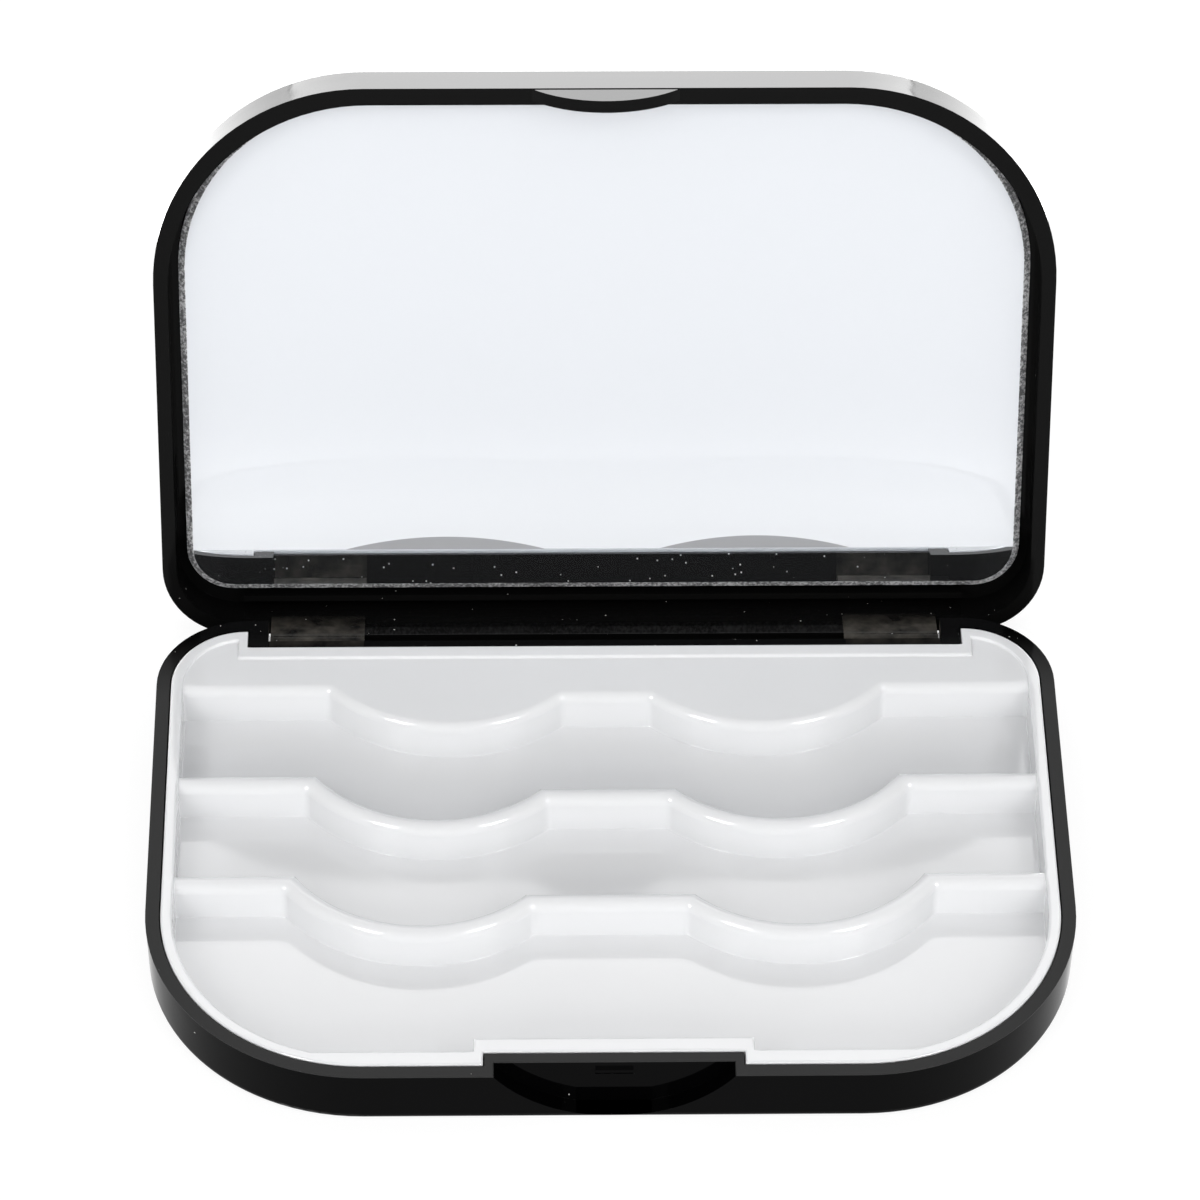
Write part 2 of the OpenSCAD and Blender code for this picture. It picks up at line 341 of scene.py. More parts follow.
@dataclass(frozen=True)
class GlossBlack:
    """High-gloss black moulded plastic, with dust round the hinge, smudges with a painted
    reflection on the knuckles, and a painted sheen on the rim's top.

    Attributes:
        top_sheen: Grey painted on the top of the rim as a painted sheen, or 0 for none.
        sheen_from: Heights where the painted sheen starts and is full.
        sheen_to: Places along y where it starts to fade and is gone.
        hinge_at: y and z of the hinge.
        knuckle: Distance of a knuckle's middle from the middle plane, and half its length.
        smudge_reflection_reach: Distances from the hinge where the smudges and the painted
            reflection thin out and end.
        cloud: Noise of the smudges and the painted reflection, with cloud_gain as its factor and
            cloud_loss then taken away.
        hinge_dust: Share of dusty cells that the hinge adds, thinning out over dust_reach.
        wipe: Noise of the wiped, rougher areas.
    """

    name: str
    colour: Colour
    specular: float
    # Painted sheen on the rim's top: its grey, the heights where it starts, and where it fades
    # along y
    top_sheen: float = 0.0
    sheen_from: Span = (8.1 * MM, 8.2 * MM)
    sheen_to: Span = (24.0 * MM, 37.0 * MM)
    hinge_at: Span = (38.15 * MM, 3.8 * MM)
    knuckle: Span = (37.2 * MM, 6.1 * MM)
    # Brownish smudges with a painted reflection on the knuckles
    smudge_reflection_colour: Colour = (0.08, 0.072, 0.06)
    smudge_reflection_reach: Span = (2.5 * MM, 7.0 * MM)
    cloud: Grain = Grain(330.0, 3.0, 0.6)
    cloud_gain: float = 2.0
    cloud_loss: float = 0.55
    dust: Colour = (0.85, 0.85, 0.82)
    specks: Specks = Specks(1100.0, 0.12, 0.012)
    hinge_dust: float = 0.6
    dust_reach: Span = (4.0 * MM, 13.0 * MM)
    dust_rough: float = 0.5
    roughness: float = 0.04
    wipe: Grain = Grain(70.0, 3.0)
    wipe_from: Span = (0.45, 0.75)
    wipe_rough: float = 0.05
    fine: Grain = Grain(900.0)
    fine_rough: float = 0.02
    wave: Grain = Grain(60.0, 1.0)
    relief: Relief = Relief(0.01 * MM, 0.35)

    def build(self) -> bpy.types.Material:
        """Builds the material.

        Returns:
            The material.
        """
        shader = Shader(self.name)
        x, y, z = shader.axes()
        along = y - self.hinge_at[0]
        above = z - self.hinge_at[1]
        away = (along * along + above * above) ** 0.5
        at_knuckle = abs(abs(x) - self.knuckle[0]) < self.knuckle[1]
        # Smudges with a painted reflection: a brownish cloud on the knuckles, thinning out away
        # from the hinge
        smudge_reflection = (1.0 - away.ramp(*self.smudge_reflection_reach)) * at_knuckle
        smudge_reflection = smudge_reflection * (shader.noise(self.cloud) * self.cloud_gain - self.cloud_loss)
        dust = shader.dots(self.specks, (1.0 - away.ramp(*self.dust_reach)) * self.hinge_dust)
        wipe = shader.noise(self.wipe).ramp(*self.wipe_from)
        fine = shader.noise(self.fine)
        clean: Paint = self.colour
        # Painted sheen: the top of the rim is painted grey, fading out towards the hinge
        if self.top_sheen > 0.0:
            sheen_mask = z.ramp(*self.sheen_from) * (1.0 - y.ramp(*self.sheen_to))
            clean = shader.blend(sheen_mask, self.colour, (self.top_sheen, self.top_sheen, self.top_sheen))
        plastic = shader.blend(smudge_reflection, clean, self.smudge_reflection_colour)
        uneven = wipe * self.wipe_rough + fine * self.fine_rough
        shader.set(
            Base_Color=shader.blend(dust, plastic, self.dust),
            Roughness=self.roughness + uneven + dust * self.dust_rough,
            Specular_IOR_Level=self.specular,
        )
        shader.bump(shader.noise(self.wave), self.relief)
        return shader.material


@dataclass(frozen=True)
class TrayWhite:
    """White moulded plastic with a soft gloss and a few specks of grime."""

    name: str = "tray_white"
    colour: Colour = (0.80, 0.805, 0.815)
    shade: Colour = (0.76, 0.765, 0.775)
    cloud: Grain = Grain(45.0, 3.0)
    cloud_rough: float = 0.03
    grime: Colour = (0.3, 0.28, 0.26)
    specks: Specks = Specks(260.0, 0.03, 0.05)
    grime_cover: float = 0.6
    specular: float = 0.6
    roughness: float = 0.05
    fine: Grain = Grain(1800.0)
    fine_rough: float = 0.02
    wave: Grain = Grain(110.0, 1.0)
    relief: Relief = Relief(0.01 * MM, 0.25)

    def build(self) -> bpy.types.Material:
        """Builds the material.

        Returns:
            The material.
        """
        shader = Shader(self.name)
        cloud = shader.noise(self.cloud)
        fine = shader.noise(self.fine)
        cover = shader.dots(self.specks) * self.grime_cover
        clean = shader.blend(cloud, self.shade, self.colour)
        shader.set(
            Base_Color=shader.blend(cover, clean, self.grime),
            Roughness=self.roughness + cloud * self.cloud_rough + fine * self.fine_rough,
            Specular_IOR_Level=self.specular,
        )
        shader.bump(shader.noise(self.wave), self.relief)
        return shader.material


@dataclass(frozen=True)
class Silvered:
    """Silvered flat glass, painted over with a pale flat reflection that ends low down in two arcs,
    where the tray's arcs are painted grey as their reflection.

    Attributes:
        flat_reflection_metal: How metallic the painted reflection is.
        flat_reflection_from: Height of the painted reflection's lower edge.
        fade: Heights between which flat_reflection_low, painted lighter to even out the shade near
            the hinge, goes over to flat_reflection.
        arcs: Middle and half width of each arc, which stands arc_rise above flat_reflection_from;
            inside it arc_reflection paints the tray's arcs grey as their reflection.
        dull: Share of the bare silvering that isn't metallic.
    """

    name: str = "silvered_glass"
    bare: Colour = (0.93, 0.955, 0.985)
    bare_hazed: Colour = (0.915, 0.94, 0.97)
    # Painted reflection: pale flat colours laid over the mirror in place of what it reflects; the
    # low one is lighter, painted light that evens out the shade near the hinge
    flat_reflection: Colour = (0.735, 0.757, 0.795)
    flat_reflection_low: Colour = (0.87, 0.892, 0.925)
    # The tray's arcs, painted in grey as their reflection in the mirror
    arc_reflection: Colour = (0.38, 0.385, 0.40)
    flat_reflection_metal: float = 0.05
    flat_reflection_from: float = 11.2 * MM
    flat_reflection_soft: float = 0.06 * MM
    fade: Span = (12.0 * MM, 40.0 * MM)
    arcs: tuple[Span, ...] = ((-20.6 * MM, 13.0 * MM), (19.7 * MM, 12.4 * MM))
    arc_rise: float = 1.75 * MM
    dull: float = 0.012
    roughness: float = 0.012
    haze: Grain = Grain(25.0)
    haze_from: Span = (0.5, 0.9)
    haze_rough: float = 0.01

    def build(self) -> bpy.types.Material:
        """Builds the material.

        Returns:
            The material.
        """
        shader = Shader(self.name)
        haze = shader.noise(self.haze).ramp(*self.haze_from)
        x, _, z = shader.axes()
        # Inside two arcs above the lower edge, the tray's arcs are painted grey as their reflection
        arc_top: Operand = self.flat_reflection_from
        for middle, half in self.arcs:
            share = (x - middle) / half
            arc_top = (1.0 - share * share).at_least(0.0) * self.arc_rise + arc_top
        # Above its lower edge the mirror is painted over with a pale flat reflection
        in_flat_reflection = (z - self.flat_reflection_from).ramp(0.0, self.flat_reflection_soft)
        past_arc = (z - arc_top).ramp(0.0, self.flat_reflection_soft)
        # Painted light: the flat reflection is painted lighter towards its bottom, to even out the
        # shade near the hinge
        low = 1.0 - z.ramp(*self.fade)
        flat_reflection = shader.blend(low * low, self.flat_reflection, self.flat_reflection_low)
        flat_reflection = shader.blend(past_arc, self.arc_reflection, flat_reflection)
        bare = shader.blend(haze, self.bare, self.bare_hazed)
        metal = 1.0 - self.dull
        shader.set(
            Base_Color=shader.blend(in_flat_reflection, bare, flat_reflection),
            Metallic=metal - in_flat_reflection * (metal - self.flat_reflection_metal),
            Roughness=self.roughness + haze * self.haze_rough,
        )
        return shader.material


@dataclass(frozen=True)
class GroundEdge:
    """Ground edge of the mirror, grey and sparkling."""

    name: str = "ground_edge"
    dark: Colour = (0.16, 0.16, 0.165)
    light: Colour = (0.8, 0.8, 0.81)
    grain: Grain = Grain(2400.0, 4.0, 0.7)
    patch: Grain = Grain(260.0, 3.0)
    grain_share: float = 0.75
    tone_from: Span = (0.44, 0.60)
    metallic: float = 0.35
    roughness: float = 0.32
    grain_rough: float = 0.2
    relief: Relief = Relief(0.06 * MM, 0.8)

    def build(self) -> bpy.types.Material:
        """Builds the material.

        Returns:
            The material.
        """
        shader = Shader(self.name)
        grain = shader.noise(self.grain)
        patch = shader.noise(self.patch)
        tone = (grain * self.grain_share + patch * (1.0 - self.grain_share)).ramp(*self.tone_from)
        shader.set(
            Base_Color=shader.blend(tone, self.dark, self.light),
            Metallic=self.metallic,
            Roughness=self.roughness + grain * self.grain_rough,
        )
        shader.bump(grain, self.relief)
        return shader.material


@dataclass(frozen=True)
class DrawnSteel:
    """Dark drawn steel wire, streaked along its length."""

    name: str = "drawn_steel"
    dark: Colour = (0.07, 0.07, 0.072)
    light: Colour = (0.12, 0.12, 0.123)
    stretch: Point = (60.0, 3000.0, 3000.0)
    streak: Grain = Grain(1.0)
    roughness: float = 0.18
    streak_rough: float = 0.15

    def build(self) -> bpy.types.Material:
        """Builds the material.

        Returns:
            The material.
        """
        shader = Shader(self.name)
        mapped = shader.node("ShaderNodeMapping", Vector=shader.place, Scale=self.stretch)
        streak = shader.noise(self.streak, place=mapped.outputs["Vector"])
        shader.set(
            Base_Color=shader.blend(streak, self.dark, self.light),
            Metallic=1.0,
            Roughness=self.roughness + streak * self.streak_rough,
        )
        return shader.material


@dataclass(frozen=True)
class FoamTape:
    """Pale closed-cell foam."""

    name: str = "foam_tape"
    dark: Colour = (0.7, 0.68, 0.62)
    light: Colour = (0.85, 0.83, 0.78)
    cells: Grain = Grain(2600.0, 3.0, 0.6)
    roughness: float = 0.75
    cell_rough: float = 0.2
    relief: Relief = Relief(0.05 * MM, 0.6)

    def build(self) -> bpy.types.Material:
        """Builds the material.

        Returns:
            The material.
        """
        shader = Shader(self.name)
        cells = shader.noise(self.cells)
        shader.set(
            Base_Color=shader.blend(cells, self.dark, self.light),
            Roughness=self.roughness + cells * self.cell_rough,
        )
        shader.bump(cells, self.relief)
        return shader.material


class Finish(Enum):
    """The finishes on the case."""

    # One plastic in two copies: the base's copy is painted darker than the lid's, with a weaker
    # reflection, as painted shade; it also carries the painted sheen on the rim's top
    BASE = GlossBlack("base_black_shaded", (0.0009, 0.0009, 0.001), specular=0.03, top_sheen=0.034)
    LID = GlossBlack("lid_black", (0.004, 0.004, 0.004), specular=0.065)
    WHITE = TrayWhite()
    MIRROR = Silvered()
    GROUND = GroundEdge()
    STEEL = DrawnSteel()
    FOAM = FoamTape()


class Paints:
    """Builds each finish once."""

    def __init__(self) -> None:
        """Starts with none built."""
        self.made: dict[Finish, bpy.types.Material] = {}

    def get(self, finish: Finish) -> bpy.types.Material:
        """Gives a finish's material.

        Args:
            finish: Which finish.

        Returns:
            Its material, the same one each time.
        """
        if finish not in self.made:
            self.made[finish] = finish.value.build()
        return self.made[finish]


# Shapes

def link(mesh: bpy.types.Mesh, name: str) -> bpy.types.Object:
    """Puts a mesh into the scene.

    Args:
        mesh: The mesh, in metres.
        name: Name of the object.

    Returns:
        The new object at the origin.
    """
    made = bpy.data.objects.new(name, mesh)
    bpy.context.scene.collection.objects.link(made)
    return made


def finished(made: bpy.types.Object) -> bpy.types.Object:
    """Weights an object's normals by face area and turns its modifiers into plain mesh.

    Args:
        made: The object.

    Returns:
        The same object with a new mesh and no modifiers.
    """
    weigh = made.modifiers.new("weigh", "WEIGHTED_NORMAL")
    weigh.mode = "FACE_AREA"
    weigh.weight = NORMAL_WEIGHT
    weigh.keep_sharp = True
    bpy.context.view_layer.update()
    graph = bpy.context.evaluated_depsgraph_get()
    mesh = bpy.data.meshes.new_from_object(made.evaluated_get(graph))
    old = made.data
    made.modifiers.clear()
    made.data = mesh
    mesh.name = made.name
    bpy.data.meshes.remove(old)
    return made


@dataclass
class SoftEdges:
    """Copies a solid and rounds all its sharp edges, as moulding does.

    Attributes:
        weld: Distance under which vertices are merged, in metres.
        flat_to: Greatest angle of an edge that is dissolved as flat, in degrees.
        sharp_from: Least angle of an edge that is rounded, in degrees.
        smooth_to: Greatest angle that is shaded smooth, in degrees.
    """

    radius: float = 0.2 * MM
    segments: int = 3
    weld: float = 0.002 * MM
    flat_to: float = 0.2
    sharp_from: float = 28.0
    smooth_to: float = 40.0

    def apply(self, node: str, name: str) -> bpy.types.Object:
        """Makes the rounded copy.

        Args:
            node: CAD node to copy.
            name: Name of the new piece.

        Returns:
            The new piece.
        """
        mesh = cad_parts[node].data.copy()
        mesh.name = name
        mesh.materials.clear()
        work = bmesh.new()
        work.from_mesh(mesh)
        bmesh.ops.remove_doubles(work, verts=work.verts, dist=self.weld)
        bmesh.ops.dissolve_limit(work, angle_limit=math.radians(self.flat_to),
                                 verts=work.verts, edges=work.edges)
        limit = math.radians(self.sharp_from)
        sharp = [e for e in work.edges if len(e.link_faces) == 2 and e.calc_face_angle(0.0) > limit]
        bmesh.ops.bevel(work, geom=sharp, offset=self.radius, offset_type="OFFSET",
                        segments=self.segments, profile=0.5, affect="EDGES",
                        clamp_overlap=True, miter_outer="ARC", harden_normals=False)
        bmesh.ops.recalc_face_normals(work, faces=work.faces)
        for face in work.faces:
            face.smooth = True
        work.to_mesh(mesh)
        work.free()
        made = link(mesh, name)
        mesh.set_sharp_from_angle(angle=math.radians(self.smooth_to))
        return finished(made)


@dataclass(frozen=True)
class TrayPlan:
    """The tray in plan: its outlines and the wavy rows, in millimetres."""

    half_width: float = 57.5
    depth: float = 77.5
    front_radius: float = 27.1
    rear_radius: float = 11.3
    inset: float = 1.85
    side_rim: float = 1.5
    front_rim: float = 2.3
    back_rim: float = 1.9
    step_rim: float = 1.2
    recess_half: float = 15.85
    recess_back: float = 3.85
    hinge_half: float = 46.0
    hinge_front: float = 72.8
    rows: int = 3
    row_y: float = 65.2
    row_pitch: float = 17.0
    row_wall: float = 2.7
    lash_radius: float = 21.6
    lash_x: float = 19.8
    lash_x_step: float = 1.8
    reach: float = 6.7
    reach_step: float = 0.8
    middle: float = 1.4
    middle_step: float = 0.95
    spacing: float = 0.6

    def outline(self, side: float, front: float, back: float, step: float) -> np.ndarray:
        """The tray's outline moved in, with its steps round the recess and the hinge.

        Args:
            side: How far it moves in at the sides.
            front: How far it moves in at the front.
            back: How far it moves in at the hinge.
            step: How far it moves in beside the steps.

        Returns:
            Points of the closed line, anticlockwise.
        """
        inset = self.inset + side
        half, front_y = self.half_width - inset, self.inset + front
        front_r, rear_r = self.front_radius - inset, self.rear_radius - inset
        front_mid, rear_mid = self.front_radius, self.depth - self.rear_radius
        recess, notch = self.recess_half + step, self.hinge_half + step
        start = math.asin(max(-1.0, min(1.0, (front_y - front_mid) / front_r)))
        end = math.acos(min(1.0, (notch - (half - rear_r)) / rear_r))
        right = [(recess, self.recess_back + front), (recess, front_y)]
        right += arc((half - front_r, front_mid), front_r, start, 0.0, self.spacing)
        right += arc((half - rear_r, rear_mid), rear_r, 0.0, end, self.spacing)
        right += [(notch, self.hinge_front - back)]
        left = [(-x, y) for x, y in reversed(right)]
        return spaced(np.array(right + left), self.spacing, closed=True)

    def row_line(self, row: int, back: float) -> np.ndarray:
        """The wavy line of one row.

        Args:
            row: Row number from the back.
            back: How far behind the row's front face the line runs.

        Returns:
            Points from left to right.
        """
        side, mid, centre, x = self.row_sizes(row)
        radius = self.lash_radius - back
        down = math.pi + math.asin((centre - side - back) / radius)
        up = 2.0 * math.pi - math.asin((centre - mid - back) / radius)
        left = [(-self.half_width, side + back)]
        left += arc((-x, centre), radius, down, up, self.spacing)
        right = [(-px, py) for px, py in reversed(left)]
        return spaced(np.array(left + right), self.spacing, closed=False)

    def row_sizes(self, row: int) -> tuple[float, float, float, float]:
        """Gives a row's side line, middle line, arc centre and arc place.

        Args:
            row: Row number from the back.

        Returns:
            y of the side runs, y of the middle run, y and |x| of the arc centres.
        """
        side = self.row_y - row * self.row_pitch
        mid = side - self.middle - row * self.middle_step
        centre = side - self.reach - row * self.reach_step + self.lash_radius
        return side, mid, centre, self.lash_x + row * self.lash_x_step

    def behind(self, row: int, back: float, at: np.ndarray) -> np.ndarray:
        """Tells which points lie behind a row's line.

        Args:
            row: Row number from the back.
            back: How far behind the row's front face the line runs.
            at: Points.

        Returns:
            True where a point lies behind the line.
        """
        side, mid, centre, x = self.row_sizes(row)
        across = np.abs(at[:, 0])
        disc = np.hypot(across - x, at[:, 1] - centre) < self.lash_radius - back
        return (at[:, 1] > side + back) | ((across < x) & (at[:, 1] > mid + back)) | disc


def arc(centre: tuple[float, float], radius: float, start: float, end: float,
        spacing: float) -> list[tuple[float, float]]:
    """Points on an arc.

    Args:
        centre: Its centre.
        radius: Its radius.
        start: First angle in radians.
        end: Last angle in radians.
        spacing: Greatest distance between points.

    Returns:
        The points, both ends included.
    """
    count = max(2, math.ceil(abs(end - start) * radius / spacing))
    angles = [start + (end - start) * i / count for i in range(count + 1)]
    return [(centre[0] + radius * math.cos(a), centre[1] + radius * math.sin(a)) for a in angles]


def spaced(line: np.ndarray, spacing: float, closed: bool) -> np.ndarray:
    """Adds points to the long runs of a line.

    Args:
        line: The line.
        spacing: Greatest distance between points.
        closed: True if the last point joins the first.

    Returns:
        The finer line.
    """
    ends = np.roll(line, -1, axis=0) if closed else line[1:]
    starts = line if closed else line[:-1]
    parts = []
    for a, b in zip(starts, ends):
        count = max(1, math.ceil(float(np.hypot(*(b - a))) / spacing))
        parts += [a + (b - a) * i / count for i in range(count)]
    if not closed:
        parts.append(line[-1])
    kept = [parts[0]]
    for point in parts[1:]:
        if np.hypot(*(point - kept[-1])) > SAME_POINT:
            kept.append(point)
    return np.array(kept)


def offset_line(line: np.ndarray, distance: float, closed: bool) -> np.ndarray:
    """Moves a line sideways with mitred corners.

    Args:
        line: The line.
        distance: How far it moves to its left.
        closed: True if the last point joins the first.

    Returns:
        The moved line, point for point.
    """
    ahead = np.roll(line, -1, axis=0) - line
    if not closed:
        ahead[-1] = ahead[-2]
    ahead /= np.linalg.norm(ahead, axis=1)[:, None]
    behind = np.roll(ahead, 1, axis=0)
    if not closed:
        behind[0] = ahead[0]
    normal = np.stack([-ahead[:, 1] - behind[:, 1], ahead[:, 0] + behind[:, 0]], axis=1)
    normal /= np.linalg.norm(normal, axis=1)[:, None]
    spread = np.maximum(-normal[:, 0] * ahead[:, 1] + normal[:, 1] * ahead[:, 0],
                        LEAST_SPREAD)
    return line + normal * (distance / spread)[:, None]


def distance_to(at: np.ndarray, line: np.ndarray, closed: bool) -> np.ndarray:
    """Distance from points to a line.

    Args:
        at: Points.
        line: The line.
        closed: True if the last point joins the first.

    Returns:
        The distances.
    """
    starts = line if closed else line[:-1]
    runs = (np.roll(line, -1, axis=0) if closed else line[1:]) - starts
    best = np.full(len(at), np.inf)
    for a, run in zip(starts, runs):
        away = at - a
        along = np.clip(away @ run / (run @ run), 0.0, 1.0)
        best = np.minimum(best, np.hypot(*(away - along[:, None] * run).T))
    return best


def inside(at: np.ndarray, line: np.ndarray) -> np.ndarray:
    """Tells which points lie inside a closed line.

    Args:
        at: Points.
        line: The closed line.

    Returns:
        True where a point lies inside.
    """
    odd = np.zeros(len(at), dtype=bool)
    for (ax, ay), (bx, by) in zip(line, np.roll(line, -1, axis=0)):
        if ay != by:
            crossing = (ay > at[:, 1]) != (by > at[:, 1])
            odd ^= crossing & (at[:, 0] < (bx - ax) * (at[:, 1] - ay) / (by - ay) + ax)
    return odd


def triangulate(chains: list[Chain], outer: np.ndarray
                ) -> tuple[np.ndarray, list[tuple[int, ...]]]:
    """Joins lines into triangles that fill an outline.

    Args:
        chains: Each line, and True if it is closed.
        outer: The outline.

    Returns:
        The vertices and the faces.
    """
    points, edges = [], []
    for chain, closed in chains:
        first = len(points)
        points += [Vector(p) for p in chain]
        edges += [(first + i, first + i + 1) for i in range(len(chain) - 1)]
        if closed:
            edges.append((len(points) - 1, first))
    verts, _, faces, *_ = delaunay_2d_cdt(points, edges, [], 0, MERGE_WITHIN)
    at = np.array([tuple(v) for v in verts])
    centres = np.array([at[list(f)].mean(axis=0) for f in faces])
    keep = inside(centres, outer)
    return at, [tuple(f) for f, k in zip(faces, keep) if k]


@dataclass
class TraySurface:
    """The tray's upper surface: a plan mesh that a node tree lifts to its heights.

    All lengths are in millimetres.

    Attributes:
        steps: Distances at which the mesh follows each line on both sides.
        crest_steps: Distances at which it also follows the crests.
    """

    plan: TrayPlan = field(default_factory=TrayPlan)
    floor: float = 2.6
    row_top: float = 7.9
    shelf: float = 8.0
    rim_top: float = 8.4
    under: float = 1.42
    crest: float = 1.35
    edge: float = 0.42
    foot: float = 0.15
    outer_edge: float = 0.3
    steps: tuple[float, ...] = (0.012, 0.035, 0.08, 0.15, 0.25, 0.34, 0.44)
    crest_steps: tuple[float, ...] = (0.6, 0.78, 0.98, 1.2)

    def build(self, name: str, material: bpy.types.Material) -> bpy.types.Object:
        """Builds the tray.

        Args:
            name: Name of the piece.
            material: Its material.

        Returns:
            The tray as plain mesh.
        """
        plan = self.plan
        outer = plan.outline(0.0, 0.0, 0.0, 0.0)
        rim = plan.outline(plan.side_rim, plan.front_rim, plan.back_rim, plan.step_rim)
        lines = [(plan.row_line(0, 0.0), LEFT)]
        for row in range(1, plan.rows):
            lines.append((plan.row_line(row, 0.0), LEFT))
            lines.append((plan.row_line(row, plan.row_wall), RIGHT))
        at, faces = triangulate(self.chains(outer, rim, lines), outer)
        mesh = bpy.data.meshes.new(name)
        mesh.from_pydata([(x * MM, (y - plan.depth / 2) * MM, 0.0) for x, y in at], [], faces)
        self.measure(mesh, at, outer, rim, [line for line, _ in lines])
        work = bmesh.new()
        work.from_mesh(mesh)
        loose = [v for v in work.verts if not v.link_faces]
        bmesh.ops.delete(work, geom=loose, context="VERTS")
        bmesh.ops.recalc_face_normals(work, faces=work.faces)
        if sum(f.normal.z for f in work.faces) < 0:
            bmesh.ops.reverse_faces(work, faces=work.faces)
        work.to_mesh(mesh)
        work.free()
        made = link(mesh, name)
        self.lift(made, material)
        return finished(made)

    def chains(self, outer: np.ndarray, rim: np.ndarray, lines: list[tuple[np.ndarray, float]]
               ) -> list[Chain]:
        """Lists the lines that the plan mesh follows, dense where its height curves.

        Args:
            outer: The tray's outline.
            rim: The rim's inner line.
            lines: Each wavy line and the side on which the tray is raised.

        Returns:
            Each line, and True if it is closed.
        """
        chains = [(outer, True)]
        chains += [(offset_line(outer, step, True), True) for step in self.steps[1:]]
        for side in (RIGHT, LEFT):
            chains += [(offset_line(rim, side * step, True), True) for step in self.steps]
            chains += [(offset_line(line, side * step, False), False)
                       for line, _ in lines for step in self.steps]
        for line, side in lines:
            chains += [(offset_line(line, side * step, False), False)
                       for step in self.crest_steps]
        return chains

    def measure(self, mesh: bpy.types.Mesh, at: np.ndarray, outer: np.ndarray,
                rim: np.ndarray, lines: list[np.ndarray]) -> None:
        """Writes each vertex's distances to the tray's lines as attributes.

        Args:
            mesh: The plan mesh.
            at: Its vertices in plan.
            outer: The tray's outline.
            rim: The rim's inner line.
            lines: The wavy lines.
        """
        plan = self.plan
        shelf = plan.behind(0, 0.0, at)
        raised = shelf.copy()
        for row in range(1, plan.rows):
            raised |= plan.behind(row, 0.0, at) & ~plan.behind(row, plan.row_wall, at)
        to_row = np.min([distance_to(at, line, False) for line in lines], axis=0)
        to_rim = distance_to(at, rim, True)
        values = {
            "raised": np.where(raised, to_row, -to_row) * MM,
            "rim": np.where(inside(at, rim), -to_rim, to_rim) * MM,
            "edge": distance_to(at, outer, True) * MM,
            "top": np.where(shelf, self.shelf, self.row_top) * MM,
        }
        for key, numbers in values.items():
            data = mesh.attributes.new(key, "FLOAT", "POINT")
            data.data.foreach_set("value", numbers.astype(np.float32))

    def lift(self, made: bpy.types.Object, material: bpy.types.Material) -> None:
        """Adds the node tree that lifts the plan to its heights and closes its sides.

        Args:
            made: Object with the plan mesh.
            material: Material that the tree sets.
        """
        tree = bpy.data.node_groups.new("tray_heights", "GeometryNodeTree")
        sizes = {"Floor": self.floor, "Rim Top": self.rim_top, "Under": self.under,
                 "Crest Radius": self.crest, "Edge Radius": self.edge, "Foot Radius": self.foot,
                 "Outer Radius": self.outer_edge}
        tree.interface.new_socket("Geometry", in_out="INPUT", socket_type="NodeSocketGeometry")
        keys = {name: tree.interface.new_socket(name, in_out="INPUT",
                                                socket_type="NodeSocketFloat").identifier
                for name in sizes}
        tree.interface.new_socket("Geometry", in_out="OUTPUT", socket_type="NodeSocketGeometry")
        start = tree.nodes.new("NodeGroupInput")
        given = {name: Value(tree, start.outputs[name]) for name in sizes}

        def stored(name: str) -> Value:
            """Reads one attribute of the plan mesh."""
            node = tree.nodes.new("GeometryNodeInputNamedAttribute")
            node.data_type = "FLOAT"
            node.inputs["Name"].default_value = name
            return Value(tree, node.outputs["Attribute"])

        def curve(distance: Value, radius: Value) -> Value:
            """Quarter round: the radius at distance 0, falling to 0 at the radius."""
            short = radius - distance.at_least(0.0).at_most(radius)
            return radius - ((radius * radius - short * short).at_least(0.0) ** 0.5)

        raised, rim, top = stored("raised"), stored("rim"), stored("top")
        high = raised > 0.0
        terrain = (high * (top - curve(raised, given["Crest Radius"]))
                   + (1.0 - high) * (given["Floor"] + curve(raised * -1.0, given["Foot Radius"])))
        half = (given["Rim Top"] - terrain) * 0.5
        on_rim = rim > 0.0
        band = (given["Rim Top"] - curve(rim, given["Edge Radius"].at_most(half))
                - curve(stored("edge"), given["Outer Radius"]))
        inner = terrain + curve(rim * -1.0, given["Foot Radius"].at_most(half))
        height = on_rim * band + (1.0 - on_rim) * inner

        def node(kind: str, geometry: bpy.types.NodeSocket) -> bpy.types.Node:
            """Adds a node that takes the geometry as its first input."""
            new = tree.nodes.new(kind)
            tree.links.new(geometry, new.inputs[0])
            return new

